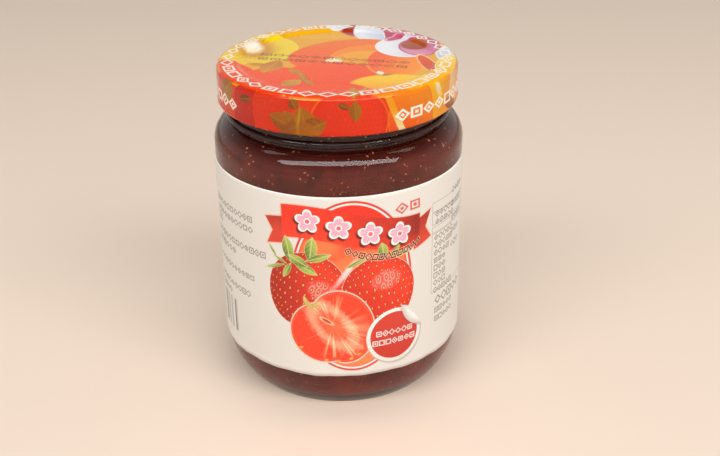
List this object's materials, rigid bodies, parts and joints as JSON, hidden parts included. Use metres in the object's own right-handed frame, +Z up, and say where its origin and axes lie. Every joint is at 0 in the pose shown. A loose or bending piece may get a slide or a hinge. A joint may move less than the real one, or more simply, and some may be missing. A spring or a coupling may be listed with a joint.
{
  "type": "jam jar",
  "caption": "Squat round glass jar of dark red fruit jam with rounded shoulder and heel, printed metal lug lid and a wrap-round paper label.",
  "frame": {"origin": "centre of the ring that the jar stands on, at table level", "axes": "+Z up along the jar's axis through the lid, -Y towards the front of the label, +Y towards the label's seam"},
  "size_m": [0.0772, 0.0772, 0.1032],
  "materials": {
    "glass": "clear moulded soda-lime glass, faintly green, smooth",
    "jam": "dark red cooked fruit jam with small pale seeds",
    "lid_print": "glossy printed tinplate with fruit in red, orange, yellow and plum",
    "label_print": null
  },
  "bodies": {
    "root": {"jar": "glass", "jam": "jam", "lid": "lid_print", "label": "label_print"}
  },
  "joints": []
}
